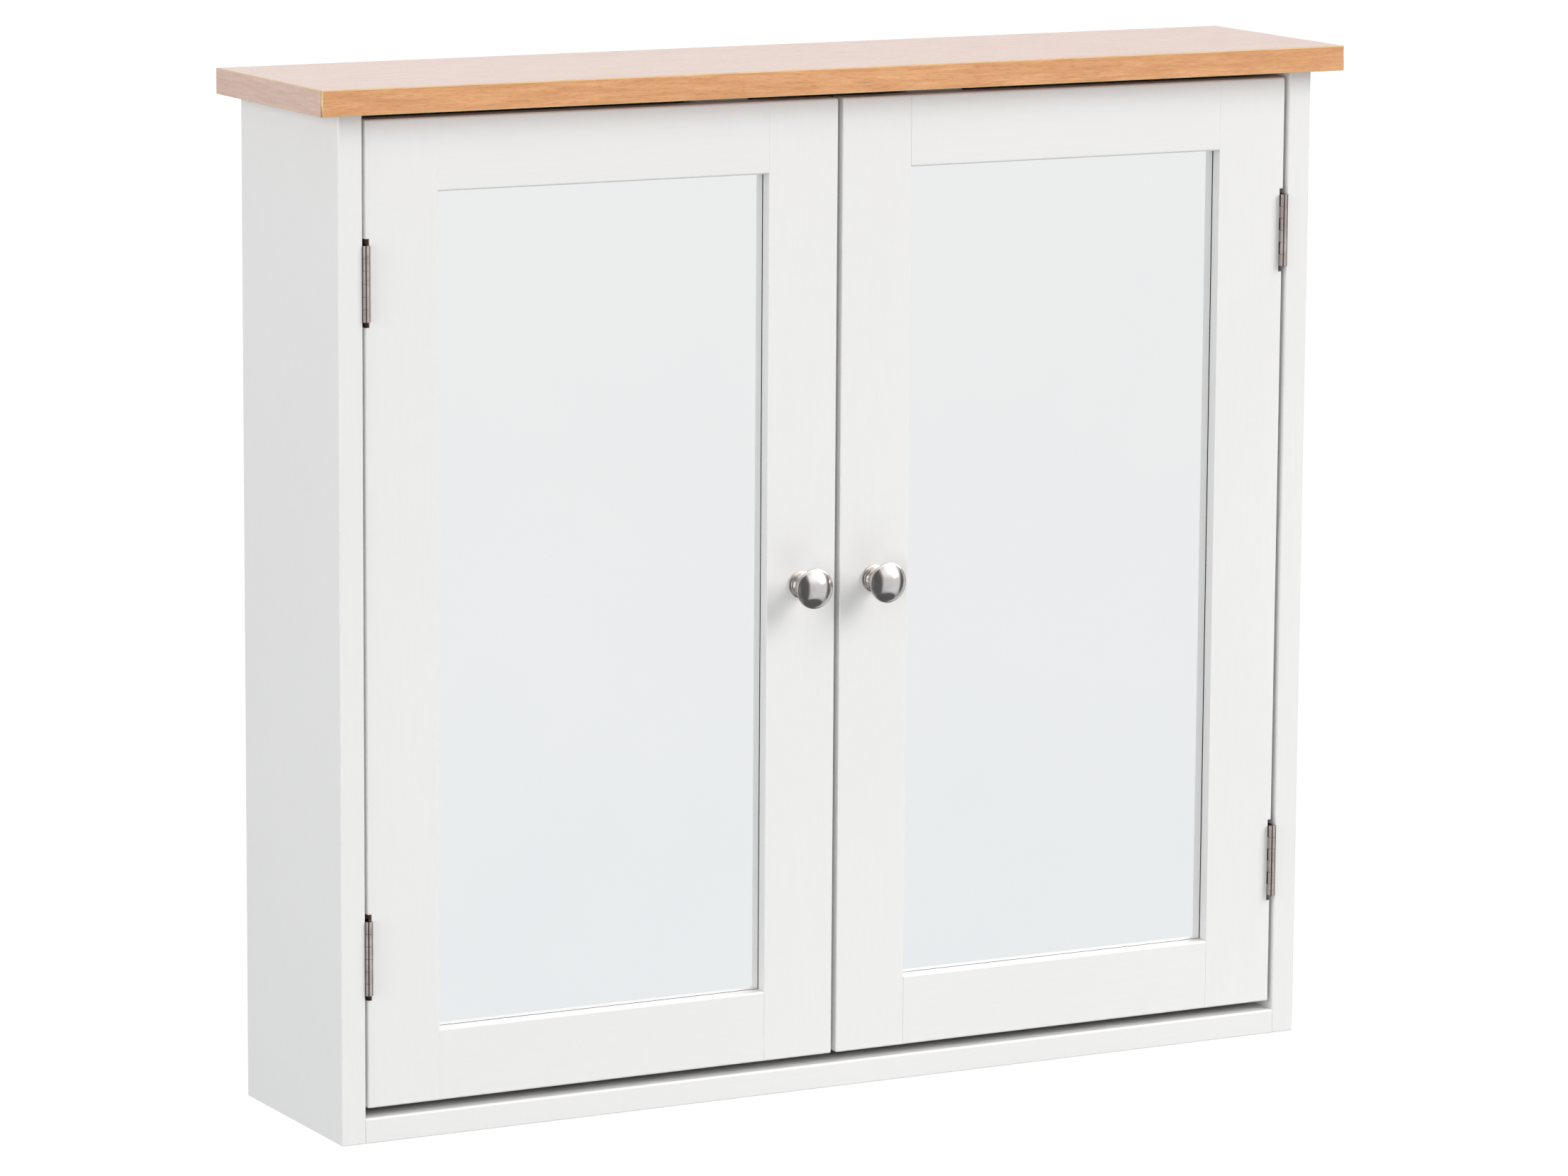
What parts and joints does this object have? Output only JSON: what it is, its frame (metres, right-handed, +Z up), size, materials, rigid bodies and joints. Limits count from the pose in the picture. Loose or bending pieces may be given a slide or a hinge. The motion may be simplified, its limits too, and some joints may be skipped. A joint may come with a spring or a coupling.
{
  "type": "hanging wall cabinet",
  "caption": "Wall-hung storage cabinet with a wood-look top board, shelves on pins, and framed mirror doors that swing out on butt hinges and close on magnetic catches.",
  "frame": {"origin": "on the wall plane, midway between the two wall screw holes in the hanging rail", "axes": "+Z up, +Y into the wall, -Y out of the doors, +X to the right as a person facing the doors sees it"},
  "size_m": [0.587, 0.1365, 0.531],
  "materials": {
    "white_lacquer": "satin",
    "beech_foil": "satin",
    "beech_edging": "satin",
    "hardboard": "matte",
    "dowel_wood": "matte",
    "mirror_glass": "polished",
    "satin_nickel": "satin",
    "zinc_plated_steel": "satin",
    "white_plastic": "satin",
    "ferrite": "matte"
  },
  "bodies": {
    "cabinet": {"left_side": "white_lacquer", "right_side": "white_lacquer", "bottom_panel": "white_lacquer", "top_board": "beech_foil", "top_front_edging": "beech_edging", "top_left_edging": "beech_edging", "top_right_edging": "beech_edging", "back_panel": "white_lacquer", "hanging_rail": "white_lacquer", "lower_shelf": "white_lacquer", "upper_shelf": "white_lacquer", "lower_shelf_pins": "zinc_plated_steel", "upper_shelf_pins": "zinc_plated_steel", "cam_bolts": "zinc_plated_steel", "cam_locks": "zinc_plated_steel", "carcass_dowels": "dowel_wood", "left_catch_housing": "white_plastic", "right_catch_housing": "white_plastic", "catch_pole_plates": "zinc_plated_steel", "catch_magnets": "ferrite", "catch_screws": "zinc_plated_steel", "left_upper_frame_leaf": "satin_nickel", "left_lower_frame_leaf": "satin_nickel", "right_upper_frame_leaf": "satin_nickel", "right_lower_frame_leaf": "satin_nickel", "hinge_pins": "satin_nickel", "frame_leaf_screws": "satin_nickel"},
    "left_door": {"left_hinge_stile": "white_lacquer", "left_meeting_stile": "white_lacquer", "left_top_rail": "white_lacquer", "left_bottom_rail": "white_lacquer", "left_frame_dowels": "dowel_wood", "left_mirror": "mirror_glass", "left_backing_board": "hardboard", "left_backing_screws": "zinc_plated_steel", "left_knob": "satin_nickel", "left_knob_screw": "zinc_plated_steel", "left_upper_door_leaf": "satin_nickel", "left_lower_door_leaf": "satin_nickel", "left_door_leaf_screws": "satin_nickel", "left_strike_plate": "zinc_plated_steel", "left_strike_screw": "zinc_plated_steel"},
    "right_door": {"right_hinge_stile": "white_lacquer", "right_meeting_stile": "white_lacquer", "right_top_rail": "white_lacquer", "right_bottom_rail": "white_lacquer", "right_frame_dowels": "dowel_wood", "right_mirror": "mirror_glass", "right_backing_board": "hardboard", "right_backing_screws": "zinc_plated_steel", "right_knob": "satin_nickel", "right_knob_screw": "zinc_plated_steel", "right_upper_door_leaf": "satin_nickel", "right_lower_door_leaf": "satin_nickel", "right_door_leaf_screws": "satin_nickel", "right_strike_plate": "zinc_plated_steel", "right_strike_screw": "zinc_plated_steel"}
  },
  "joints": [
    {"name": "left_door_hinge", "type": "hinge", "parent": "cabinet", "child": "left_door", "pos_m": [-0.2649, -0.118, -0.2285], "axis": [0, 0, -1], "range_deg": [0, 180]},
    {"name": "right_door_hinge", "type": "hinge", "parent": "cabinet", "child": "right_door", "pos_m": [0.2649, -0.118, -0.2285], "axis": [0, 0, 1], "range_deg": [0, 180]}
  ]
}
